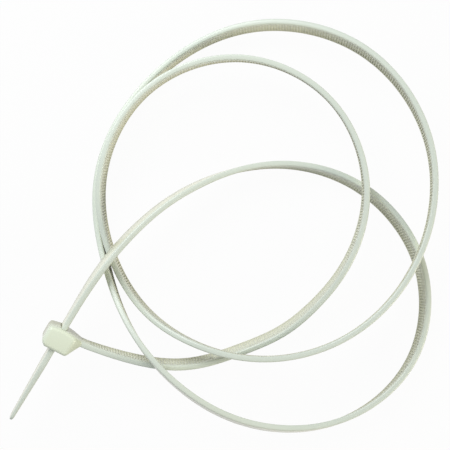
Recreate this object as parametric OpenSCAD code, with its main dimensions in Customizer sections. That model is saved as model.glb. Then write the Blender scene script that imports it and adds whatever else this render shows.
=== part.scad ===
// Cable tie: one moulding, closed through its own head and lying in a loose coil of three turns.
// Millimetres, +Z up. The origin is the middle of the coil's bounding box, on the surface it lies on.

/* [Strap] */
// Width of the strap, from edge to edge
strap_w = 9; // [8:0.1:10]
// Thickness of the strap over its rails
strap_t = 2.1; // [1.8:0.05:2.4]
// Bevel along the four long edges of the strap
edge_bevel = 0.45; // [0.3:0.05:0.6]
// Width of the smooth rail on each side of the teeth
rail_w = 1.2; // [1:0.1:2]

/* [Rack teeth] */
// Distance from one tooth to the next
tooth_pitch = 1.1; // [1.05:0.05:1.3]
// Depth of the teeth below the rails
tooth_depth = 0.5; // [0.4:0.05:0.9]
// Share of the pitch that the gentle flank takes
tooth_ramp = 0.85; // [0.7:0.05:0.9]
// Length of plain strap between the head and the first tooth
plain_root = 5; // [4:1:30]

/* [Tail] */
// Length of the tail past the middle of the head
tail_len = 34.5; // [30:0.5:60]
// Length of the plain end of the tail, which has no teeth
tail_plain = 24; // [18:1:28]
// Width of the rounded tip
tip_w = 4.2; // [3:0.1:6]
// Thickness of the tip
tip_t = 1.3; // [1:0.1:1.8]

/* [Head] */
// Height of the head along the slot, from the bundle side to the exit side
head_h = 8.2; // [7.5:0.1:10]
// Wall beside each edge of the strap in the slot
side_wall = 2.1; // [1.5:0.1:3]
// Solid end of the head behind the strap
back_wall = 4; // [3.3:0.1:6]
// Wall between the pawl's pocket and the outside, above the root
root_wall = 1.6; // [1.3:0.1:4]
// Length of the taper from the head down to the strap
root_taper = 3.2; // [2.5:0.1:6]
// Drop of the bundle side from the slot to the head's end
end_drop = 0.8; // [0.5:0.1:2]
// Drop of the bundle side from the slot to the root of the strap
root_drop = 0.9; // [0.6:0.1:1.5]
// Bevel at the head's end on the exit side
end_bevel = 1.5; // [1:0.1:2]
// Rounding of the head's edges
head_round = 1.1; // [0.6:0.1:1.5]
// Clearance around the strap in the slot
slot_clear = 0.2; // [0.15:0.05:0.5]

/* [Pawl] */
// Thickness of the pawl behind its teeth
pawl_t = 1.3; // [1:0.1:1.8]
// Number of teeth on the pawl
pawl_teeth = 3; // [2:1:3]
// Thickness of the thin web that the pawl bends on
hinge_t = 0.7; // [0.5:0.1:1]
// Length of that web
hinge_len = 0.6; // [0.4:0.1:0.8]
// Space behind the pawl that it bends into
pawl_gap = 0.8; // [0.5:0.1:1.2]
// Clearance between the pawl and the strap
pawl_clear = 0.12; // [0.08:0.01:0.2]
// Depth of the pawl's free end below the exit side
pawl_recess = 0.7; // [0.4:0.1:1]
// Thickness of the bridge that the pawl hangs from, at the bundle side
bridge_t = 1.5; // [1:0.1:1.8]

/* [Lay of the coil] */
// Radius of the widest stretch of the coil, from the middle that the turns are measured from
coil_r = 100; // [95:1:120]
// Height gap between strands that cross
cross_gap = 0.4; // [0.3:0.1:2]
// Gap between the two strands that run side by side
side_gap = 0.35; // [0.3:0.05:2]
// Slope of the strap where it leaves the head, in degrees
head_dip = 14; // [8:1:16]
// Height of the middle of the head, in strap widths above the lowest strand
head_level = 1.15; // [1.1:0.05:1.4]

/* [Hidden] */
nylon = [0.86, 0.88, 0.8];

// Step from one strand to the strand that crosses over it
level_h = strap_w + cross_gap;
// Extra radius of a strand that runs outside another, as a share of the coil's radius
beside = (strap_t + side_gap) / coil_r;

// Middle of the head, as shares of the coil's radius, and the way the strap leaves it
head_xy = [-0.674, -0.277];
root_yaw = -30;
root_dir = [cos(root_yaw), sin(root_yaw), 0];
slot_dir = [root_dir.y, -root_dir.x, 0];
root_offset = head_h / 2 - root_drop - strap_t / 2;

// Guide points along the root and through the slot
root_points = 3;
root_step = 6;
slot_step = 8;
slot_lead = 12;

turn_step = 30;
first_angle = 240;

// Radii of the left side, where the first turn comes down beside the second
left_run = [0.78, 0.648, 0.504];

// Route of the strap, one row every 30 degrees from the head: radius as a share of the coil's,
// level and outward lean. The radii steer a smooth curve that runs a little inside them.
turn_1 = [
    [0.487, 0, 13], [0.335, 0, 13], [0.316, 0, 13], [0.325, 0.5, 9], [0.411, 1.1, 5], [0.57, 1.2, -4],
    [0.734, 1.1, -13], [0.814, 1, -10], [left_run[0], 1, -2], [left_run[1], 0.92, 6],
    [left_run[2], 0.05, 2], [0.42, 0.1, 6]
];
turn_2 = [
    [0.359, 1, -4], [0.362, 1.1, -4], [0.417, 1, -6], [0.528, 1, -8], [0.685, 1.15, -8],
    [0.874, 1.1, -8], [0.99, 0.7, 1], [0.961, 0.2, 2], [left_run[0] + beside, 0, -2],
    [left_run[1] + beside, 0, 6], [left_run[2] + beside, 0, 2], [0.495, 1, -8]
];
turn_3 = [
    [0.517, 1.52, -13], [0.625, 0.6, -18], [0.75, 0, -16], [0.803, 0, 0], [0.728, 0, 8], [0.582, 0, 11],
    [0.445, 0, 2], [0.361, 0.25, -4], [0.338, 0.65, -15], [0.381, 1.1, -16], [0.508, 1.3, -22]
];
turns = concat(turn_1, turn_2, turn_3);

// Half of the strap's height when it leans
function half_height(lean) = strap_w / 2 * cos(lean) + strap_t / 2 * abs(sin(lean));
function lay_z(level, lean) = half_height(lean) + level * level_h;
slot_mid = [coil_r * head_xy.x, coil_r * head_xy.y, lay_z(head_level, head_dip)];

// Control points of the route: x, y, z and lean
function root_point(d) =
    let (p = slot_mid + root_dir * d * cos(head_dip) - slot_dir * root_offset)
    [p.x, p.y, p.z - d * sin(head_dip), 0];
function slot_point(d) = let (p = slot_mid + slot_dir * d) [p.x, p.y, p.z, -head_dip];
function coil_point(i) =
    let (a = first_angle + turn_step * i, row = turns[i])
    [coil_r * row[0] * cos(a), coil_r * row[0] * sin(a), lay_z(row[1], row[2]), row[2]];
route = concat(
    [for (k = [0:root_points - 1]) root_point(k * root_step)],
    [for (i = [0:len(turns) - 1]) coil_point(i)],
    [for (d = [-slot_lead:slot_step:tail_len + 2 * slot_lead]) slot_point(d)]
);

// Smooth curve through the control points, walked by its length
curve_steps = 10;
function blend(a, b, c, d, t) =
    (pow(1 - t, 3) * a + (3 * pow(t, 3) - 6 * t * t + 4) * b + (3 * t * t - 3 * pow(t, 3) + 3 * t + 1) * c
    + pow(t, 3) * d) / 6;
walk = [
    for (i = [0:len(route) - 4]) for (k = [0:curve_steps - 1])
        blend(route[i], route[i + 1], route[i + 2], route[i + 3], k / curve_steps)
];
function place(p) = [p[0], p[1], p[2]];
run = [
    for (i = 0, s = 0; i < len(walk); i = i + 1,
        s = s + (i < len(walk) ? norm(place(walk[i]) - place(walk[i - 1])) : 0)) s
];
function column(k) = [for (i = [0:len(walk) - 1]) [run[i], walk[i][k]]];
table_x = column(0);
table_y = column(1);
table_z = column(2);
table_lean = column(3);
function spot(s) = [lookup(s, table_x), lookup(s, table_y), lookup(s, table_z)];

// Length along the strap at which it passes the middle of the head
slot_walk = (tail_len + 3 * slot_lead) / slot_step * curve_steps;
slot_run = lookup(0, [
    for (i = [len(walk) - floor(slot_walk):len(walk) - 1]) [(place(walk[i]) - slot_mid) * slot_dir, run[i]]
]);
strap_len = slot_run + tail_len;

// Rings of the strap: plain at the root, then tooth crests that line up with the pawl, then plain
root_spans = 3;
teeth_per_span = 6;
span = teeth_per_span * tooth_pitch;
rack_end = slot_run + tooth_pitch * ceil((tail_len - tail_plain) / tooth_pitch);
span_count = floor((rack_end - plain_root) / span);
rack_start = rack_end - span_count * span;
root_rings = [for (k = [0:root_spans - 1]) rack_start * k / root_spans];
rack_rings = [for (k = [0:span_count]) rack_start + k * span];
tip_len = strap_len - rack_end;
tip_shares = [0.2, 0.45, 0.7, 0.85, 0.9, 0.94, 0.97, 0.99, 1];
tip_rings = [for (k = tip_shares) rack_end + tip_len * k];

// Width and thickness toward the tip, whose end is a half ellipse with a small flat
tip_round = 0.1;
tip_flat = 0.02;
function tip_share(s) = max(0, (s - rack_end) / tip_len);
function round_off(f) = sqrt(1 - (1 - tip_flat) * pow(max(0, 1 - (1 - f) / tip_round), 2));
function wide_at(s) = let (f = tip_share(s)) (strap_w + (tip_w - strap_w) * f) * round_off(f);
function thick_at(s) = let (f = tip_share(s)) strap_t + (tip_t - strap_t) * f;

// A point of the section at length s: n toward the toothed face, v toward the upper edge
heading_reach = 0.5;
function heading(s) = let (d = spot(s + heading_reach) - spot(s - heading_reach)) d / norm(d);
function frame_at(s) =
    let (
        t = heading(s),
        flat = norm([t.x, t.y]),
        out = [t.y / flat, -t.x / flat, 0],
        rise = cross(out, t),
        lean = lookup(s, table_lean)
    )
    [spot(s), rise * sin(lean) - out * cos(lean), rise * cos(lean) + out * sin(lean)];
function in_section(f, n, v) = f[0] + f[1] * n + f[2] * v;

// Corners of the section: round the smooth back, then down the toothed front between its rails
rail_limit = 0.6;
function back_corners(w, t, c) =
    [[c - t, -w], [-t, c - w], [-t, w - c], [c - t, w], [t - c, w]];
function front_corners(w, t, c, r) =
    [[t, w - c], [t, w - r], [t, r - w], [t, c - w], [t - c, -w]];
function section(s) =
    let (
        w = wide_at(s) / 2,
        t = thick_at(s) / 2,
        c = min(edge_bevel, w / 2),
        r = min(rail_w, w * rail_limit)
    )
    concat(back_corners(w, t, c), front_corners(w, t, c, r));
ring_size = len(section(0));
rail_top = len(back_corners(strap_w, strap_t, edge_bevel));
rack_top = rail_top + 1;
rack_bottom = rail_top + 2;
rail_bottom = rail_top + 3;
function ring(s) = let (f = frame_at(s)) [for (q = section(s)) in_section(f, q[0], q[1])];
rings = [for (s = concat(root_rings, rack_rings, tip_rings)) ring(s)];

// Tooth points of one span, on the straight line between its two rings: valleys, then inner crests
rack_sides = [rack_top, rack_bottom];
function first_ring(j) = j + len(root_rings);
function between(a, b, f) = a + (b - a) * f;
function on_span(j, corner, f) =
    between(rings[first_ring(j)][corner], rings[first_ring(j) + 1][corner], f / teeth_per_span);
function inward(j, f) =
    between(frame_at(rack_rings[j])[1], frame_at(rack_rings[j + 1])[1], f / teeth_per_span);
function valley(j, corner, m) =
    on_span(j, corner, m + tooth_ramp) - inward(j, m + tooth_ramp) * tooth_depth;
function span_points(j) = concat(
    [for (m = [0:teeth_per_span - 1]) for (corner = rack_sides) valley(j, corner, m)],
    [for (m = [1:teeth_per_span - 1]) for (corner = rack_sides) on_span(j, corner, m)]
);
strap_points = concat(
    [for (r = rings) each r],
    [for (j = [0:span_count - 1]) each span_points(j)]
);

// Numbers of the points: ring corners, and the valleys and crests of a span. A side is 0 or 1.
span_size = 2 * (2 * teeth_per_span - 1);
function corner_no(i, k) = i * ring_size + k;
function span_no(j) = len(rings) * ring_size + j * span_size;
function valley_no(j, side, m) = span_no(j) + 2 * m + side;
function crest_no(j, side, m) =
    m == 0 ? corner_no(first_ring(j), rack_sides[side])
    : m == teeth_per_span ? corner_no(first_ring(j) + 1, rack_sides[side])
    : span_no(j) + 2 * (teeth_per_span + m - 1) + side;

// Faces, all as triangles: a band between two rings, the rails, the teeth and the two ends
function quad(a, b, c, d) = [[a, b, c], [a, c, d]];
function band(i, k) =
    let (n = (k + 1) % ring_size)
    quad(corner_no(i, k), corner_no(i, n), corner_no(i + 1, n), corner_no(i + 1, k));
function top_rail(j) =
    let (a = corner_no(first_ring(j), rail_top), b = corner_no(first_ring(j) + 1, rail_top))
    concat(
        [[a, crest_no(j, 0, teeth_per_span), b]],
        [for (m = [0:teeth_per_span - 1]) [a, crest_no(j, 0, m), crest_no(j, 0, m + 1)]]
    );
function bottom_rail(j) =
    let (a = corner_no(first_ring(j), rail_bottom), b = corner_no(first_ring(j) + 1, rail_bottom))
    concat(
        [[a, b, crest_no(j, 1, teeth_per_span)]],
        [for (m = [0:teeth_per_span - 1]) [a, crest_no(j, 1, m + 1), crest_no(j, 1, m)]]
    );
function tooth(j, m) = concat(
    [[crest_no(j, 0, m), valley_no(j, 0, m), crest_no(j, 0, m + 1)]],
    [[crest_no(j, 1, m), crest_no(j, 1, m + 1), valley_no(j, 1, m)]],
    quad(crest_no(j, 0, m), crest_no(j, 1, m), valley_no(j, 1, m), valley_no(j, 0, m)),
    quad(valley_no(j, 0, m), valley_no(j, 1, m), crest_no(j, 1, m + 1), crest_no(j, 0, m + 1))
);
function in_rack(i) = i >= len(root_rings) && i < len(root_rings) + span_count;
last_ring = len(rings) - 1;
strap_faces = concat(
    [for (k = [1:ring_size - 2]) [corner_no(0, 0), corner_no(0, k + 1), corner_no(0, k)]],
    [
        for (i = [0:last_ring - 1]) for (k = [0:ring_size - 1])
            if (!in_rack(i) || k < rail_top || k >= rail_bottom) each band(i, k)
    ],
    [for (j = [0:span_count - 1]) each concat(top_rail(j), bottom_rail(j))],
    [for (j = [0:span_count - 1]) for (m = [0:teeth_per_span - 1]) each tooth(j, m)],
    [
        for (k = [1:ring_size - 2])
            [corner_no(last_ring, 0), corner_no(last_ring, k), corner_no(last_ring, k + 1)]
    ]
);

module strap() {
    polyhedron(points = strap_points, faces = strap_faces, convexity = 10);
}

// Head, in its own axes: x along the strap at the root, y toward the bundle, z across the strap
half_h = head_h / 2;
slot_half_w = strap_w / 2 + slot_clear;
head_half_w = slot_half_w + side_wall;
slot_back = -strap_t / 2 - slot_clear;
slot_front = strap_t / 2 + slot_clear;
pocket_end = slot_front + pawl_t + pawl_gap;
head_back = slot_back - back_wall;
root_end = pocket_end + root_wall;
taper_end = root_end + root_taper;

// Outline whose corners are rounded by arcs of short sides. A row is x, y and radius.
arc_sides = 4;
function unit(v) = v / norm(v);
function turned(v, a) = [v.x * cos(a) - v.y * sin(a), v.x * sin(a) + v.y * cos(a)];
function arc(before, corner, after) =
    let (
        here = [corner.x, corner.y],
        u = unit([before.x, before.y] - here),
        v = unit([after.x, after.y] - here),
        half = acos(u * v) / 2,
        mid = here + unit(u + v) * corner.z / sin(half),
        spoke = here + u * corner.z / tan(half) - mid,
        turn = (u.x * v.y - u.y * v.x > 0 ? 2 : -2) * (half - 90)
    )
    [for (k = [0:arc_sides]) mid + turned(spoke, turn * k / arc_sides)];
function rounded(rows) = [
    for (i = [0:len(rows) - 1])
        let (before = rows[(i + len(rows) - 1) % len(rows)], after = rows[(i + 1) % len(rows)])
        each rows[i].z > 0 ? arc(before, rows[i], after) : [[rows[i].x, rows[i].y]]
];

side_outline = [
    [head_back, end_bevel - half_h, head_round], [head_back + end_bevel, -half_h, head_round],
    [root_end, -half_h, head_round], [taper_end, root_offset - strap_t / 2, 0],
    [taper_end, root_offset + strap_t / 2, 0], [slot_front, half_h, 0], [slot_back, half_h, 0],
    [head_back, half_h - end_drop, head_round]
];
plan_outline = [
    [head_back, -head_half_w, head_round], [root_end, -head_half_w, head_round],
    [taper_end, -strap_w / 2, 0], [taper_end, strap_w / 2, 0],
    [root_end, head_half_w, head_round], [head_back, head_half_w, head_round]
];
end_outline = [
    [-half_h, -head_half_w, head_round], [half_h, -head_half_w, head_round],
    [half_h, head_half_w, head_round], [-half_h, head_half_w, head_round]
];

module head_block() {
    intersection() {
        translate([0, 0, -head_half_w])
            linear_extrude(2 * head_half_w)
                polygon(rounded(side_outline));
        rotate([90, 0, 0])
            translate([0, 0, -half_h])
                linear_extrude(head_h)
                    polygon(rounded(plan_outline));
        rotate([90, 0, 90])
            translate([0, 0, head_back])
                linear_extrude(taper_end - head_back)
                    polygon(rounded(end_outline));
    }
}

// Slot for the strap, with the pocket that the pawl bends into
cut_past = 1;
pawl_half_w = strap_w / 2 - rail_w - 2 * pawl_clear;
pocket_half_w = pawl_half_w + slot_clear;
pawl_top = half_h - bridge_t;
module slot_cut() {
    translate([slot_back, -half_h - cut_past, -slot_half_w])
        cube([slot_front - slot_back, head_h + 2 * cut_past, 2 * slot_half_w]);
    translate([0, -half_h - cut_past, -pocket_half_w])
        cube([pocket_end, pawl_top + half_h + cut_past, 2 * pocket_half_w]);
}

// Pawl, hinged at the bundle side. Its front repeats the rack, set back by the clearance.
bite = 0.1;
pawl_front = strap_t / 2 + pawl_clear;
pawl_back = pawl_front + pawl_t;
hinge_end = pawl_top - hinge_len;
end_tooth = floor((half_h - pawl_recess) / tooth_pitch);
function tooth_y(m) = pawl_clear / 2 + tooth_pitch * (pawl_teeth - end_tooth - m);
pawl_outline = concat(
    [[pawl_back - hinge_t, pawl_top + bite], [pawl_back - hinge_t, hinge_end], [pawl_front, hinge_end]],
    [
        for (m = [0:pawl_teeth - 1])
            each [[pawl_front, tooth_y(m)], [pawl_front - tooth_depth, tooth_y(m + tooth_ramp)]]
    ],
    [[pawl_front, tooth_y(pawl_teeth)], [pawl_back - hinge_t, tooth_y(pawl_teeth)]],
    [[pawl_back, tooth_y(pawl_teeth - 1)], [pawl_back, pawl_top + bite]]
);
module pawl() {
    translate([0, 0, -pawl_half_w])
        linear_extrude(2 * pawl_half_w)
            polygon(pawl_outline);
}

module head() {
    translate(slot_mid) rotate([0, head_dip, root_yaw]) {
        difference() {
            head_block();
            slot_cut();
        }
        pawl();
    }
}

// Middle of the coil's bounding box, at its lowest point, which goes to the origin
all_x = [for (p = strap_points) p.x];
all_y = [for (p = strap_points) p.y];
all_z = [for (p = strap_points) p.z];
box_mid = [(min(all_x) + max(all_x)) / 2, (min(all_y) + max(all_y)) / 2, min(all_z)];

module cable_tie() {
    color(nylon) translate(-box_mid) {
        strap();
        head();
    }
}

cable_tie();
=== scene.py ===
"""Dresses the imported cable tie: a fine strap with its rack, the moulded head, nylon, light and camera.

Lengths are in metres and angles in degrees. The strap follows the same route as the CAD solid.
"""
import math

import bmesh
import bpy
import numpy as np
from mathutils import Matrix, Vector


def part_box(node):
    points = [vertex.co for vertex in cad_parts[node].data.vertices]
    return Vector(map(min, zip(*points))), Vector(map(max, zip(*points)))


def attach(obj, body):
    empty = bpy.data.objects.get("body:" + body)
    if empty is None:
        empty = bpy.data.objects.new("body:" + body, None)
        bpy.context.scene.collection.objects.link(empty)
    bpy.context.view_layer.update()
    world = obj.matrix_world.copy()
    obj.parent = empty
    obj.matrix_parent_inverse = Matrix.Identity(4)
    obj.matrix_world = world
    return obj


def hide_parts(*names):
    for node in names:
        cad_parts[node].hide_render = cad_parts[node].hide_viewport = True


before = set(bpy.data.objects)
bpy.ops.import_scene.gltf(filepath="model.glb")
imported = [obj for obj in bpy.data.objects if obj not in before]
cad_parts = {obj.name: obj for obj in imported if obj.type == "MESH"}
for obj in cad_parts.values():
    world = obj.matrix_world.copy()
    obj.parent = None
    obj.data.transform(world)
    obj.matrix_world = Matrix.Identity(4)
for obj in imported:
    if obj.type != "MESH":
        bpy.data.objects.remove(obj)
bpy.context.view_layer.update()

# Strap
STRAP_W = 0.009
STRAP_T = 0.0021
EDGE_R = 0.00055
RAIL_W = 0.0012
RAIL_LIMIT = 0.6

# Rack teeth
TOOTH_PITCH = 0.0011
TOOTH_DEPTH = 0.0005
TOOTH_RAMP = 0.85
CREST_FLAT = 0.12
VALLEY_FLAT = 0.05
RACK_DRAFT = 0.00008
PLAIN_ROOT = 0.005

# Tail
TAIL_LEN = 0.0345
TAIL_PLAIN = 0.024
TIP_W = 0.0042
TIP_T = 0.0013

# Head
HEAD_H = 0.0082
SIDE_WALL = 0.0021
BACK_WALL = 0.004
ROOT_WALL = 0.0016
ROOT_TAPER = 0.0032
END_DROP = 0.0008
ROOT_DROP = 0.0009
END_BEVEL = 0.0015
HEAD_ROUND = 0.0013
SLOT_CLEAR = 0.0002
MOUTH_FLARE = 0.0001

# Pawl
PAWL_T = 0.0013
PAWL_TEETH = 3
HINGE_T = 0.0007
HINGE_LEN = 0.0006
PAWL_GAP = 0.0008
PAWL_CLEAR = 0.00012
PAWL_RECESS = 0.0007
BRIDGE_T = 0.0015
PAWL_BITE = 0.0001

# Lay of the coil
COIL_R = 0.100
CROSS_GAP = 0.0004
SIDE_GAP = 0.00035
HEAD_DIP = 14
HEAD_LEVEL = 1.15
ROOT_YAW = -30
HEAD_PLACE = (-0.674, -0.277)
TURN_STEP = 30
FIRST_ANGLE = 240
ROOT_POINTS = 3
ROOT_STEP = 0.006
SLOT_STEP = 0.008
SLOT_LEAD = 0.012

LEVEL_H = STRAP_W + CROSS_GAP
BESIDE = (STRAP_T + SIDE_GAP) / COIL_R
HALF_H = HEAD_H / 2
ROOT_OFFSET = HALF_H - ROOT_DROP - STRAP_T / 2

# Radii of the left side, where the first turn comes down beside the second
LEFT_RUN = (0.78, 0.648, 0.504)

# Route of the strap, one row every 30 degrees: radius as a share of the coil's, level and lean
TURN_1 = [
    (0.487, 0, 13), (0.335, 0, 13), (0.316, 0, 13), (0.325, 0.5, 9), (0.411, 1.1, 5), (0.57, 1.2, -4),
    (0.734, 1.1, -13), (0.814, 1, -10), (LEFT_RUN[0], 1, -2), (LEFT_RUN[1], 0.92, 6),
    (LEFT_RUN[2], 0.05, 2), (0.42, 0.1, 6),
]
TURN_2 = [
    (0.359, 1, -4), (0.362, 1.1, -4), (0.417, 1, -6), (0.528, 1, -8), (0.685, 1.15, -8),
    (0.874, 1.1, -8), (0.99, 0.7, 1), (0.961, 0.2, 2), (LEFT_RUN[0] + BESIDE, 0, -2),
    (LEFT_RUN[1] + BESIDE, 0, 6), (LEFT_RUN[2] + BESIDE, 0, 2), (0.495, 1, -8),
]
TURN_3 = [
    (0.517, 1.52, -13), (0.625, 0.6, -18), (0.75, 0, -16), (0.803, 0, 0), (0.728, 0, 8), (0.582, 0, 11),
    (0.445, 0, 2), (0.361, 0.25, -4), (0.338, 0.65, -15), (0.381, 1.1, -16), (0.508, 1.3, -22),
]


def turned_to(degrees):
    """Unit vector in the plane at an angle from +X."""
    return np.array([math.cos(math.radians(degrees)), math.sin(math.radians(degrees)), 0.0])


def lay_z(level, lean):
    """Height of the strap's middle when it leans on a level."""
    tilt = math.radians(lean)
    half_height = STRAP_W / 2 * math.cos(tilt) + STRAP_T / 2 * abs(math.sin(tilt))
    return half_height + level * LEVEL_H


ROOT_DIR = turned_to(ROOT_YAW)
SLOT_DIR = turned_to(ROOT_YAW - 90)
SLOT_MID = np.array([COIL_R * HEAD_PLACE[0], COIL_R * HEAD_PLACE[1], lay_z(HEAD_LEVEL, HEAD_DIP)])


def route_points():
    """Guide points of the strap from the root to past the tail: x, y, z and lean."""
    dip = math.radians(HEAD_DIP)
    points = []
    for step in range(ROOT_POINTS):
        along = step * ROOT_STEP
        place = SLOT_MID + ROOT_DIR * along * math.cos(dip) - SLOT_DIR * ROOT_OFFSET
        place[2] -= along * math.sin(dip)
        points.append([*place, 0])
    for number, (share, level, lean) in enumerate(TURN_1 + TURN_2 + TURN_3):
        place = turned_to(FIRST_ANGLE + TURN_STEP * number) * COIL_R * share
        points.append([place[0], place[1], lay_z(level, lean), lean])
    for along in np.arange(-SLOT_LEAD, TAIL_LEN + 2 * SLOT_LEAD + SLOT_STEP / 2, SLOT_STEP):
        points.append([*(SLOT_MID + SLOT_DIR * along), -HEAD_DIP])
    return np.array(points)


# Steps walked from one guide point to the next, and how far ahead and behind the heading is taken
FINENESS = 80
HEADING_REACH = 0.0006


class Route:
    """Smooth curve along the guide points, walked by its length."""

    def __init__(self, points):
        self.points = points
        self.steps = np.arange((len(points) - 3) * FINENESS) / FINENESS
        self.walk = self.on_curve(self.steps)
        lengths = np.linalg.norm(np.diff(self.walk[:, :3], axis=0), axis=1)
        self.run = np.concatenate([[0], np.cumsum(lengths)])

    def on_curve(self, step):
        """Points of the curve at steps from guide point to guide point."""
        first = np.clip(step.astype(int), 0, len(self.points) - 4)
        t = step - first
        weights = np.stack([
            (1 - t) ** 3, 3 * t ** 3 - 6 * t ** 2 + 4, 3 * t ** 2 - 3 * t ** 3 + 3 * t + 1, t ** 3,
        ]) / 6
        return sum(weight[:, None] * self.points[first + k] for k, weight in enumerate(weights))

    def at(self, s):
        """Places and leans at lengths s."""
        found = self.on_curve(np.interp(s, self.run, self.steps))
        return found[:, :3], np.radians(found[:, 3])

    def length_at(self, point, direction):
        """Length at which the last stretch passes a point."""
        past = (self.walk[:, :3] - point) @ direction
        last = len(past) - np.argmax(past[::-1] < 0) - 1
        return np.interp(0, past[last:last + 2], self.run[last:last + 2])

    def frames(self, s):
        """Middle, inward normal and width direction of the strap at lengths s."""
        middle, lean = self.at(s)
        heading = self.at(s + HEADING_REACH)[0] - self.at(s - HEADING_REACH)[0]
        heading /= np.linalg.norm(heading, axis=1, keepdims=True)
        flat = np.hypot(heading[:, 0], heading[:, 1])
        outward = np.stack([heading[:, 1] / flat, -heading[:, 0] / flat, 0 * flat], axis=1)
        rise = np.cross(outward, heading)
        sin, cos = np.sin(lean)[:, None], np.cos(lean)[:, None]
        return middle, rise * sin - outward * cos, rise * cos + outward * sin


# Rings of the plain root, the plain tail and the round tip, and how far the last one closes it
ROOT_RINGS = 24
TAIL_RINGS = 40
TIP_RINGS = 14
TIP_CLOSED = 0.9995


def tooth_rings(crest):
    """Lengths and depths of the rings that make one tooth, from its crest."""
    shares = [0, CREST_FLAT, TOOTH_RAMP, TOOTH_RAMP + VALLEY_FLAT]
    depths = [0, 0, 1, 1]
    return [(crest + TOOTH_PITCH * share, TOOTH_DEPTH * depth) for share, depth in zip(shares, depths)]


def strap_rings(rack_start, rack_end, strap_len):
    """Length, tooth depth, width and thickness of every ring of the strap."""
    tip_len = strap_len - rack_end
    tip_round = TIP_W / 2
    rings = [(s, 0.0) for s in np.linspace(0, rack_start, ROOT_RINGS, endpoint=False)]
    for number in range(round((rack_end - rack_start) / TOOTH_PITCH)):
        rings += tooth_rings(rack_start + number * TOOTH_PITCH)
    rings += [(s, 0.0) for s in np.linspace(rack_end, strap_len - tip_round, TAIL_RINGS)]
    rounding = np.sin(np.linspace(0, math.pi / 2, TIP_RINGS)[1:])
    rings += [(strap_len - tip_round * (1 - share), 0.0) for share in rounding]
    s, depth = np.array(rings).T
    toward_tip = np.clip((s - rack_end) / tip_len, 0, 1)
    cap = np.clip(1 - (strap_len - s) / tip_round, 0, TIP_CLOSED)
    rounded = np.sqrt(1 - cap ** 2)
    width = (STRAP_W + (TIP_W - STRAP_W) * toward_tip) * rounded
    thick = (STRAP_T + (TIP_T - STRAP_T) * toward_tip) * np.sqrt(rounded)
    return s, depth, width, thick


# Corners of the section in the order of its outline, as sides of n and v and the angle they start at
BACK_CORNERS = ((-1, -1, 180), (-1, 1, 90), (1, 1, 0))
LAST_CORNER = (1, -1, -90)
CORNER_SIDES = 3
LARGEST_CORNER = 0.8
LARGEST_DRAFT = 0.2


def corner_arc(corner, w, t, radius):
    """Points round one corner of the section, clockwise, for every ring."""
    side_n, side_v, start = corner
    turn = np.radians(start + 90 * np.arange(CORNER_SIDES, -1, -1) / CORNER_SIDES)
    n = (side_n * (t - radius))[:, None] + radius[:, None] * np.cos(turn)
    v = (side_v * (w - radius))[:, None] + radius[:, None] * np.sin(turn)
    return n, v


def strap_section(depth, width, thick):
    """Section of each ring, counterclockwise: n toward the teeth, v toward the upper edge, and the rack."""
    w, t = width / 2, thick / 2
    radius = np.minimum(EDGE_R, np.minimum(w, t) * LARGEST_CORNER)
    rail = w - np.minimum(RAIL_W, w * RAIL_LIMIT)
    bed = rail - np.minimum(RACK_DRAFT, rail * LARGEST_DRAFT)
    corners = [corner_arc(corner, w, t, radius) for corner in BACK_CORNERS]
    rack = (np.stack([t, t - depth, t - depth, t], axis=1), np.stack([rail, bed, -bed, -rail], axis=1))
    parts = [*corners, rack, corner_arc(LAST_CORNER, w, t, radius)]
    n = np.concatenate([part[0] for part in parts], axis=1)
    v = np.concatenate([part[1] for part in parts], axis=1)
    toothed = np.zeros(n.shape)
    first = sum(part[0].shape[1] for part in corners)
    toothed[:, first + 1:first + 3] = 1
    return n[:, ::-1], v[:, ::-1], toothed[:, ::-1]


def ring_faces(rings, size):
    """Quads between closed rings of the same size, and a cap on each end."""
    ring = np.arange(rings - 1)[:, None] * size
    here = np.arange(size)[None, :]
    after = (here + 1) % size
    quads = np.stack([ring + here, ring + after, ring + size + after, ring + size + here], axis=2)
    faces = quads.reshape(-1, 4).tolist()
    faces.append(list(range(size))[::-1])
    faces.append([(rings - 1) * size + k for k in range(size)])
    return faces


def new_piece(name, points, faces):
    """Mesh object of points and faces, with its normals pointing out."""
    mesh = bpy.data.meshes.new(name)
    mesh.from_pydata(points.tolist(), [], faces)
    mesh.validate()
    mesh.update()
    piece = bpy.data.objects.new(name, mesh)
    bpy.context.scene.collection.objects.link(piece)
    return piece


# Angles from which an edge stays crisp: the strap's teeth are softly moulded, the head is not
STRAP_CRISP = 85
HEAD_CRISP = 32


def smooth_but_crisp(piece, sharpest):
    """Smooth shading that keeps edges sharper than an angle."""
    piece.data.shade_smooth()
    piece.data.set_sharp_from_angle(angle=math.radians(sharpest))


def coordinates(piece):
    """Points of a piece's mesh."""
    flat = np.zeros(len(piece.data.vertices) * 3)
    piece.data.vertices.foreach_get("co", flat)
    return flat.reshape(-1, 3)


def mark(piece, name, values):
    """Stores a number for every point of a piece, which its material reads."""
    piece.data.attributes.new(name, "FLOAT", "POINT").data.foreach_set("value", values.ravel())


def make_strap(route, slot_run):
    """Strap with its rails and rack, from inside the head to the rounded tip."""
    strap_len = slot_run + TAIL_LEN
    teeth_in_tail = math.ceil((TAIL_LEN - TAIL_PLAIN) / TOOTH_PITCH)
    rack_end = slot_run + TOOTH_PITCH * teeth_in_tail
    rack_start = rack_end - TOOTH_PITCH * math.floor((rack_end - PLAIN_ROOT) / TOOTH_PITCH)
    s, depth, width, thick = strap_rings(rack_start, rack_end, strap_len)
    middle, inward, upward = route.frames(s)
    n, v, toothed = strap_section(depth, width, thick)
    points = middle[:, None] + inward[:, None] * n[..., None] + upward[:, None] * v[..., None]
    rings, size = n.shape
    strap = new_piece("strap", points.reshape(-1, 3), ring_faces(rings, size))
    mark(strap, "toothed", toothed)
    # Depth down from the upper edge: it sets the rims apart from the faces, and the material paints shade
    # by it towards the lower edge
    mark(strap, "depth", 0.5 - v / width[:, None])
    return strap


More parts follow.
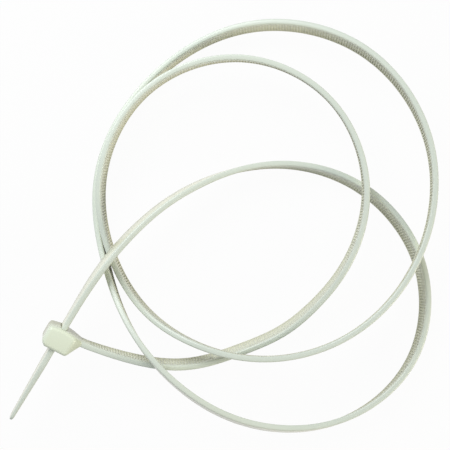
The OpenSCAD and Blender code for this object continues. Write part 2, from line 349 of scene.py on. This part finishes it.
def rounded_outline(rows, sides=8):
    """Outline whose corners (x, y, radius) are rounded by arcs."""
    outline = []
    for number, (x, y, radius) in enumerate(rows):
        corner = np.array([x, y])
        if radius == 0:
            outline.append(corner)
            continue
        before = np.array(rows[number - 1][:2]) - corner
        after = np.array(rows[(number + 1) % len(rows)][:2]) - corner
        u, v = before / np.linalg.norm(before), after / np.linalg.norm(after)
        half = math.acos(float(u @ v)) / 2
        mid = corner + (u + v) / np.linalg.norm(u + v) * radius / math.sin(half)
        start, end = u * radius / math.tan(half), v * radius / math.tan(half)
        spoke_a, spoke_b = corner + start - mid, corner + end - mid
        angle_a, angle_b = math.atan2(spoke_a[1], spoke_a[0]), math.atan2(spoke_b[1], spoke_b[0])
        turn = (angle_b - angle_a + math.pi) % (2 * math.pi) - math.pi
        for k in range(sides + 1):
            angle = angle_a + turn * k / sides
            outline.append(mid + radius * np.array([math.cos(angle), math.sin(angle)]))
    return np.array(outline)


SLOT_BACK = -STRAP_T / 2 - SLOT_CLEAR
SLOT_FRONT = STRAP_T / 2 + SLOT_CLEAR
SLOT_HALF_W = STRAP_W / 2 + SLOT_CLEAR
HEAD_HALF_W = SLOT_HALF_W + SIDE_WALL
HEAD_BACK = SLOT_BACK - BACK_WALL
POCKET_END = SLOT_FRONT + PAWL_T + PAWL_GAP
ROOT_END = POCKET_END + ROOT_WALL
TAPER_END = ROOT_END + ROOT_TAPER


# Rings of the head's rounded end and of the rest of it
ROUND_RINGS = 12
BODY_RINGS = 60


def head_stations():
    """Stations along the head: place, exit side, bundle side and half width of each."""
    exit_side = rounded_outline([
        (HEAD_BACK, 0, 0), (HEAD_BACK, END_BEVEL - HALF_H, HEAD_ROUND),
        (HEAD_BACK + END_BEVEL, -HALF_H, HEAD_ROUND), (ROOT_END, -HALF_H, HEAD_ROUND),
        (TAPER_END, ROOT_OFFSET - STRAP_T / 2, 0),
    ])
    bundle_side = rounded_outline([
        (HEAD_BACK, 0, 0), (HEAD_BACK, HALF_H - END_DROP, HEAD_ROUND), (SLOT_BACK, HALF_H, 0),
        (SLOT_FRONT, HALF_H, 0), (TAPER_END, ROOT_OFFSET + STRAP_T / 2, 0),
    ])
    flank = rounded_outline([
        (HEAD_BACK, 0, 0), (HEAD_BACK, HEAD_HALF_W, HEAD_ROUND), (ROOT_END, HEAD_HALF_W, 2 * HEAD_ROUND),
        (TAPER_END, STRAP_W / 2, 0),
    ])
    round_end = HEAD_BACK + HEAD_ROUND * (1 - np.cos(np.linspace(0, math.pi / 2, ROUND_RINGS)))
    body = np.linspace(HEAD_BACK + HEAD_ROUND, TAPER_END, BODY_RINGS)[1:]
    x = np.concatenate([round_end, body])
    sides = []
    for chain in (exit_side, bundle_side, flank):
        chain = chain[1:]
        sides.append(np.interp(x, chain[:, 0], chain[:, 1]))
    return (x, *sides)


def rounded_box_ring(low, high, half_w, radius, sides=6):
    """Corner points of a rounded rectangle: y from low to high, z to both sides."""
    points = []
    for side_y, side_z, start in ((1, 1, 0), (-1, 1, 90), (-1, -1, 180), (1, -1, 270)):
        mid_y = high - radius if side_y > 0 else low + radius
        mid_z = side_z * (half_w - radius)
        for k in range(sides + 1):
            turn = math.radians(start + 90 * k / sides)
            points.append((mid_y + radius * math.cos(turn), mid_z + radius * math.sin(turn)))
    return points


def head_block():
    """Outer form of the head, lofted along the root's direction."""
    x, low, high, half_w = head_stations()
    rings = []
    for place, y0, y1, w in zip(x, low, high, half_w):
        radius = min(HEAD_ROUND, (y1 - y0) / 2 * LARGEST_CORNER)
        rings.append([(place, y, z) for y, z in rounded_box_ring(y0, y1, w, radius)])
    rings = np.array(rings)
    count, size = rings.shape[:2]
    return new_piece("head", rings.reshape(-1, 3), ring_faces(count, size))


def passage(name, stations):
    """Cutter lofted along the slot: rows of place, back, front, half width and corner radius."""
    rings = []
    for place, back, front, half_w, radius in stations:
        ring = rounded_box_ring(back, front, half_w, radius)
        rings.append([(x, place, z) for x, z in ring])
    rings = np.array(rings)[:, ::-1]
    count, size = rings.shape[:2]
    return new_piece(name, rings.reshape(-1, 3), ring_faces(count, size))


# How far a cutter stands out of the head, and the corners of the slot and pocket with the pocket's rim
CUT_PAST = 0.001
SLOT_CORNER = 0.0004
POCKET_CORNER = 0.00035
POCKET_RIM = 0.00025


def slot_cutter():
    """Slot for the strap, flared at the mouth and at the exit."""
    plain = (SLOT_BACK, SLOT_FRONT, SLOT_HALF_W, SLOT_CORNER)
    wide = (SLOT_BACK - MOUTH_FLARE, SLOT_FRONT + MOUTH_FLARE, SLOT_HALF_W + MOUTH_FLARE, 2 * SLOT_CORNER)
    slight = (SLOT_BACK - MOUTH_FLARE / 2, SLOT_FRONT, SLOT_HALF_W + MOUTH_FLARE / 2, SLOT_CORNER)
    return passage("slot_cutter", [
        (-HALF_H - CUT_PAST, *slight), (-HALF_H, *slight), (-HALF_H + MOUTH_FLARE / 2, *plain),
        (HALF_H - 2 * MOUTH_FLARE, *plain), (HALF_H, *wide), (HALF_H + CUT_PAST, *wide),
    ])


PAWL_HALF_W = STRAP_W / 2 - RAIL_W - 2 * PAWL_CLEAR
PAWL_TOP = HALF_H - BRIDGE_T


def pocket_cutter():
    """Pocket behind the pawl, open on the exit side."""
    half_w = PAWL_HALF_W + SLOT_CLEAR
    plain = (0.0, POCKET_END, half_w, POCKET_CORNER)
    wide = (0.0, POCKET_END + POCKET_RIM, half_w + POCKET_RIM, POCKET_CORNER + POCKET_RIM)
    return passage("pocket_cutter", [
        (-HALF_H - CUT_PAST, *wide), (-HALF_H, *wide), (-HALF_H + POCKET_RIM, *plain), (PAWL_TOP, *plain),
    ])


def make_pawl():
    """Pawl on its thin hinge, with teeth that repeat the rack."""
    front = STRAP_T / 2 + PAWL_CLEAR
    back = front + PAWL_T
    hinge_end = PAWL_TOP - HINGE_LEN
    end_tooth = math.floor((HALF_H - PAWL_RECESS) / TOOTH_PITCH)

    def tooth_y(count):
        return PAWL_CLEAR / 2 + TOOTH_PITCH * (PAWL_TEETH - end_tooth - count)

    outline = [
        (back - HINGE_T, PAWL_TOP + PAWL_BITE), (back - HINGE_T, hinge_end), (front, hinge_end),
    ]
    for count in range(PAWL_TEETH):
        outline.append((front, tooth_y(count)))
        outline.append((front - TOOTH_DEPTH, tooth_y(count + TOOTH_RAMP)))
    outline.append((front, tooth_y(PAWL_TEETH)))
    outline.append((back - HINGE_T, tooth_y(PAWL_TEETH)))
    outline.append((back, tooth_y(PAWL_TEETH - 1)))
    outline.append((back, PAWL_TOP + PAWL_BITE))
    rings = np.array([[(x, y, z) for x, y in outline] for z in (-PAWL_HALF_W, PAWL_HALF_W)])
    return new_piece("pawl", rings.reshape(-1, 3), ring_faces(2, len(outline)))


def combine(piece, tool, operation):
    """Works a tool's form into a piece, and drops the tool."""
    step = piece.modifiers.new("combine", "BOOLEAN")
    step.operation = operation
    step.solver = "EXACT"
    step.object = tool
    view = bpy.context.evaluated_depsgraph_get()
    shaped = bpy.data.meshes.new_from_object(piece.evaluated_get(view))
    piece.modifiers.clear()
    piece.data = shaped
    bpy.data.objects.remove(tool)


# Shortest edge that is kept after the cuts
SHORTEST_EDGE = 0.000003


def drop_slivers(piece):
    """Splits a piece into triangles and takes out those too thin to see, which the cuts leave."""
    form = bmesh.new()
    form.from_mesh(piece.data)
    bmesh.ops.remove_doubles(form, verts=form.verts, dist=SHORTEST_EDGE)
    bmesh.ops.triangulate(form, faces=form.faces)
    bmesh.ops.dissolve_degenerate(form, edges=form.edges, dist=SHORTEST_EDGE)
    form.to_mesh(piece.data)
    form.free()


def make_head():
    """Head with its slot, pocket and pawl, turned into its place on the coil."""
    head = head_block()
    combine(head, slot_cutter(), "DIFFERENCE")
    combine(head, pocket_cutter(), "DIFFERENCE")
    combine(head, make_pawl(), "UNION")
    drop_slivers(head)
    # Depth down from the head's top side, by which its material paints shade
    mark(head, "depth", 0.5 - coordinates(head)[:, 2] / (2 * HEAD_HALF_W))
    place = Matrix.Translation(Vector(SLOT_MID))
    yaw = Matrix.Rotation(math.radians(ROOT_YAW), 4, "Z")
    dip = Matrix.Rotation(math.radians(HEAD_DIP), 4, "Y")
    head.data.transform(place @ yaw @ dip)
    return head


def seat_in_cad_box(pieces):
    """Moves the moulding onto the CAD solid, and keeps it inside its box."""
    low, high = (np.array(corner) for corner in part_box("cable_tie"))
    every = np.concatenate([coordinates(piece) for piece in pieces])
    shift = (low + high) / 2 - (every.min(0) + every.max(0)) / 2
    shift[2] = low[2] - every.min(0)[2]
    for piece in pieces:
        inside = np.clip(coordinates(piece) + shift, low, high)
        piece.data.vertices.foreach_set("co", inside.ravel())
        piece.data.update()
    return shift


class Number:
    """A shader's number socket, whose sums and products add Math nodes."""

    def __init__(self, shader, socket):
        self.shader = shader
        self.socket = socket

    def _math(self, operation, first, second):
        return self.shader.number("Math", {"operation": operation}, {0: first, 1: second})

    def __add__(self, other):
        return self._math("ADD", self, other)

    def __radd__(self, other):
        return self._math("ADD", other, self)

    def __mul__(self, other):
        return self._math("MULTIPLY", self, other)

    def __rmul__(self, other):
        return self._math("MULTIPLY", other, self)


# Places of the Mix node's factor and colours among its sockets
MIX_FACTOR = 0
MIX_FIRST = 6
MIX_SECOND = 7
MIX_COLOUR = 2


class Shader:
    """Node tree of a material or world, built from node types, settings and inputs."""

    def __init__(self, owner):
        owner.use_nodes = True
        self.tree = owner.node_tree
        self.tree.nodes.clear()

    def node(self, kind, settings=None, inputs=None):
        made = self.tree.nodes.new("ShaderNode" + kind)
        for name, value in (settings or {}).items():
            setattr(made, name, value)
        for name, value in (inputs or {}).items():
            if isinstance(value, Number):
                value = value.socket
            if isinstance(value, bpy.types.NodeSocket):
                self.tree.links.new(value, made.inputs[name])
            else:
                made.inputs[name].default_value = value
        return made

    def number(self, kind, settings=None, inputs=None, output=0):
        return Number(self, self.node(kind, settings, inputs).outputs[output])

    def blend(self, factor, first, second):
        """Colour between two colours."""
        mix = self.node("Mix", {"data_type": "RGBA"}, {
            MIX_FACTOR: factor, MIX_FIRST: first, MIX_SECOND: second,
        })
        return mix.outputs[MIX_COLOUR]


# Colours of the natural nylon: rims and their cloudy parts, faces from high to low, and the head. The
# faces' and the head's low colours are painted shade, and the rack's colour is a little lighter as painted
# light among the teeth
RIM = (0.72, 0.78, 0.69, 1)
RIM_CLOUDY = (0.67, 0.73, 0.64, 1)
FACE_HIGH = (0.85, 0.86, 0.70, 1)
# Painted light: the rack is a little lighter and cooler than the faces, which eases the shade among its
# teeth
RACK_TONE_AND_PAINTED_LIGHT = (0.84, 0.87, 0.75, 1)
# Painted shade: the faces darken to olive towards their lower edge
FACE_PAINTED_SHADE = (0.65, 0.65, 0.51, 1)
HEAD_PALE = (0.84, 0.91, 0.75, 1)
HEAD_CLOUDY = (0.79, 0.85, 0.67, 1)
# Painted shade: the head darkens to olive down its sides
HEAD_PAINTED_SHADE = (0.42, 0.42, 0.28, 1)

# How fast the rim's colour turns into the faces', and the head's upper colour into its painted shade, as
# turns in the width of the strap and of the head
FACE_FADE = 5.0
HEAD_FADE = 1.6

# Sizes of its texture, as turns of noise in a metre
CLOUD_SCALE = 90.0
CLOUD_DETAIL = 3.0
RIPPLE_SCALE = 250.0
RIPPLE_DETAIL = 1.0

# Its gloss, duller among the teeth, and the faint ripple of the mould
SMOOTHEST = 0.20
DULLER = 0.10
RACK_DULLER = 0.30
NYLON_IOR = 1.53
GLOSS = 0.5
RIPPLE_STRENGTH = 0.06
RIPPLE_HEIGHT = 0.00004


def nylon_body(shader, colour, dullness=0.0):
    """Semi-gloss body with a faint moulded ripple."""
    place = shader.node("TexCoord").outputs["Object"]
    ripple = shader.number("TexNoise", None, {
        "Vector": place, "Scale": RIPPLE_SCALE, "Detail": RIPPLE_DETAIL,
    })
    bump = shader.node("Bump", None, {
        "Strength": RIPPLE_STRENGTH, "Distance": RIPPLE_HEIGHT, "Height": ripple,
    })
    body = shader.node("BsdfPrincipled", None, {
        "Base Color": colour,
        "Roughness": SMOOTHEST + ripple * DULLER + dullness,
        "IOR": NYLON_IOR,
        "Specular IOR Level": GLOSS,
        "Normal": bump.outputs[0],
    })
    shader.node("OutputMaterial", None, {"Surface": body.outputs[0]})


def cloud(shader):
    """Faint cloudiness of the moulding, from 0 to 1."""
    place = shader.node("TexCoord").outputs["Object"]
    return shader.number("TexNoise", None, {
        "Vector": place, "Scale": CLOUD_SCALE, "Detail": CLOUD_DETAIL,
    })


def strap_nylon():
    """Nylon of the strap: pale along its rims, painted shade darker down its faces, painted light on its
    rack, and duller among the teeth.
    """
    material = bpy.data.materials.new("nylon_strap")
    shader = Shader(material)
    depth = shader.number("Attribute", {"attribute_name": "depth"}, output="Fac")
    toothed = shader.number("Attribute", {"attribute_name": "toothed"}, output="Fac")
    rim = shader.blend(cloud(shader), RIM, RIM_CLOUDY)
    # The faces turn darker towards their lower edge as painted shade, and the rack is a little lighter as
    # painted light
    face = shader.blend(depth, shader.blend(toothed, FACE_HIGH, RACK_TONE_AND_PAINTED_LIGHT), FACE_PAINTED_SHADE)
    nylon_body(shader, shader.blend(depth * FACE_FADE, rim, face), toothed * RACK_DULLER)
    return material


def head_nylon():
    """Nylon of the head, with painted shade that darkens it to olive down its sides."""
    material = bpy.data.materials.new("nylon_head")
    shader = Shader(material)
    depth = shader.number("Attribute", {"attribute_name": "depth"}, output="Fac")
    upper = shader.blend(cloud(shader), HEAD_PALE, HEAD_CLOUDY)
    # The head turns darker and olive from its top down, as painted shade
    nylon_body(shader, shader.blend(depth * HEAD_FADE, upper, HEAD_PAINTED_SHADE))
    return material


def paint(piece, material):
    """Gives a piece its only material."""
    piece.data.materials.clear()
    piece.data.materials.append(material)


# How much of the floor the camera sees as plain white; the rest keeps the coil's shadow
FLOOR_WHITE = 0.96
FLOOR_GREY = (0.65, 0.65, 0.65, 1)
FLOOR_REACH = 3.0

# Even light of the studio around the coil
SURROUND = (0.92, 0.96, 1.0, 1)
SURROUND_STRENGTH = 0.35

# Lamps: where each stands, its size, its power and its colour
KEY_LIGHT = ((-0.16, 0.24, 0.30), 0.28, 1.3, (0.97, 0.98, 1.0))
WARM_LIGHT = ((0.42, -0.22, 0.20), 0.25, 1.1, (1.0, 0.91, 0.71))
WHITE = (1.0, 1.0, 1.0, 1)


def white_rays(shader):
    """1 for the rays that see the background as white: the camera's, mirrored and passed on."""
    path = shader.node("LightPath")
    camera = Number(shader, path.outputs["Is Camera Ray"])
    glossy = Number(shader, path.outputs["Is Glossy Ray"])
    passed = Number(shader, path.outputs["Is Transmission Ray"])
    return camera + glossy + passed


def make_floor():
    """Plain pale floor under the coil, which keeps a faint shadow."""
    reach = FLOOR_REACH
    corners = np.array([(-reach, -reach, 0), (reach, -reach, 0), (reach, reach, 0), (-reach, reach, 0)])
    floor = new_piece("floor", corners, [[0, 1, 2, 3]])
    material = bpy.data.materials.new("floor_white")
    shader = Shader(material)
    matt = shader.node("BsdfDiffuse", None, {"Color": FLOOR_GREY})
    glow = shader.node("Emission", None, {"Color": WHITE, "Strength": 1.0})
    seen = white_rays(shader) * FLOOR_WHITE
    mix = shader.node("MixShader", None, {0: seen, 1: matt.outputs[0], 2: glow.outputs[0]})
    shader.node("OutputMaterial", None, {"Surface": mix.outputs[0]})
    paint(floor, material)


def make_world():
    """Even studio surround, which the camera sees as white."""
    world = bpy.data.worlds.new("surround")
    bpy.context.scene.world = world
    shader = Shader(world)
    surround = shader.node("Background", None, {"Color": SURROUND, "Strength": SURROUND_STRENGTH})
    white = shader.node("Background", None, {"Color": WHITE, "Strength": 1.0})
    seen = white_rays(shader)
    mix = shader.node("MixShader", None, {0: seen, 1: surround.outputs[0], 2: white.outputs[0]})
    shader.node("OutputWorld", None, {"Surface": mix.outputs[0]})


def softbox(name, place, size, power, colour):
    """Square area light that faces the coil."""
    light = bpy.data.lights.new(name, "AREA")
    light.shape = "SQUARE"
    light.size = size
    light.energy = power
    light.color = colour
    lamp = bpy.data.objects.new(name, light)
    bpy.context.scene.collection.objects.link(lamp)
    lamp.location = place
    lamp.rotation_mode = "QUATERNION"
    lamp.rotation_quaternion = Vector(place).to_track_quat("Z", "Y")


# Camera of the photograph: how far it stood, how it looked down, and the point of the coil's plane
# that it looked at, from the middle that the turns are measured from
CAMERA_DISTANCE = 0.300
CAMERA_ELEVATION = 87.3
VIEW_CENTRE = Vector((-0.0062, 0.0142))
SENSOR = 36.0
LENS = 61.54
NEAREST_SEEN = 0.01
FARTHEST_SEEN = 20.0


def make_camera(coil_middle):
    """Camera almost straight above the coil, at the photograph's distance."""
    camera = bpy.data.cameras.new("camera")
    camera.sensor_width = SENSOR
    camera.lens = LENS
    camera.clip_start = NEAREST_SEEN
    camera.clip_end = FARTHEST_SEEN
    holder = bpy.data.objects.new("camera", camera)
    bpy.context.scene.collection.objects.link(holder)
    tilt = math.radians(CAMERA_ELEVATION)
    back = Vector((0, -math.cos(tilt), math.sin(tilt)))
    target = Vector((coil_middle[0] + VIEW_CENTRE.x, coil_middle[1] + VIEW_CENTRE.y, 0))
    holder.location = target + back * CAMERA_DISTANCE
    holder.rotation_mode = "QUATERNION"
    holder.rotation_quaternion = back.to_track_quat("Z", "Y")
    bpy.context.scene.camera = holder


route = Route(route_points())
strap = make_strap(route, route.length_at(SLOT_MID, SLOT_DIR))
head = make_head()
coil_middle = seat_in_cad_box([strap, head])

paint(strap, strap_nylon())
paint(head, head_nylon())
smooth_but_crisp(strap, STRAP_CRISP)
smooth_but_crisp(head, HEAD_CRISP)
for piece in (strap, head):
    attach(piece, "root")
    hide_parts("cable_tie")

make_floor()
make_world()
softbox("key", *KEY_LIGHT)
softbox("warm", *WARM_LIGHT)
make_camera(coil_middle)

bpy.context.scene.view_settings.view_transform = "Standard"
